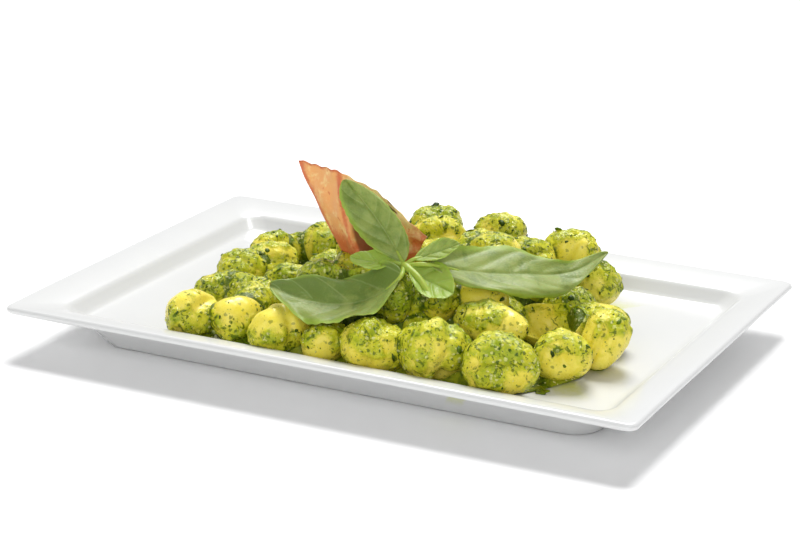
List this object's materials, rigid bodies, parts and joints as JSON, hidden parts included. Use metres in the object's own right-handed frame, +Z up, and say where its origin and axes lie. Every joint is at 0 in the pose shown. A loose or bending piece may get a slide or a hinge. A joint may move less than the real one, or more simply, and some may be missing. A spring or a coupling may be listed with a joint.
{
  "type": "plate of gnocchi",
  "caption": "Shallow rectangular porcelain plate holding a heap of potato gnocchi coated in pesto, topped with a basil sprig and a folded tomato crisp.",
  "frame": {"origin": "centre of the plate's foot, on the table", "axes": "+X along the plate's long side, +Y away from the diner, +Z up"},
  "size_m": [0.3, 0.205, 0.0871],
  "materials": {
    "plate": "white glossy glaze",
    "gnocchi_heap": "oily pesto over soft dough",
    "basil_sprig": "satin leaf",
    "tomato_crisp": "dry and mottled"
  },
  "bodies": {
    "root": {"plate": "plate", "gnocchi_heap": "gnocchi_heap", "basil_sprig": "basil_sprig", "tomato_crisp": "tomato_crisp"}
  },
  "joints": []
}
